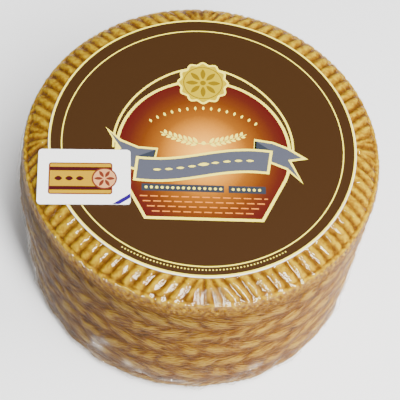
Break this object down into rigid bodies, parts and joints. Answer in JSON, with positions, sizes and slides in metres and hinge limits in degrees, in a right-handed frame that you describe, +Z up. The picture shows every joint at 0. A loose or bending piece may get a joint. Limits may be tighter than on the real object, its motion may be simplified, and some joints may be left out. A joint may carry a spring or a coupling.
{
  "type": "wrapped cheese wheel",
  "caption": "Small whole wheel of hard sheep's milk cheese with ribbed rims and a plaited side, in tight clear film, with a round paper label and a small card on top.",
  "frame": {"origin": "centre of the flat base, on the surface that the wheel stands on", "axes": "+Z up along the wheel's axis; +Y is the top of the label's print, so the print reads upright from -Y"},
  "size_m": [0.1224, 0.1224, 0.0738],
  "materials": {
    "rind_in_film": "golden waxed rind with pressed ribs and plait marks, seen through tight glossy clear film",
    "label_paper": "coated label paper printed dark brown, with cream rings and a warm centre field",
    "card_paper": "smooth white card with plain printed fields"
  },
  "bodies": {
    "root": {"cheese_wheel": "rind_in_film", "top_label": "label_paper", "paper_card": "card_paper"}
  },
  "joints": []
}
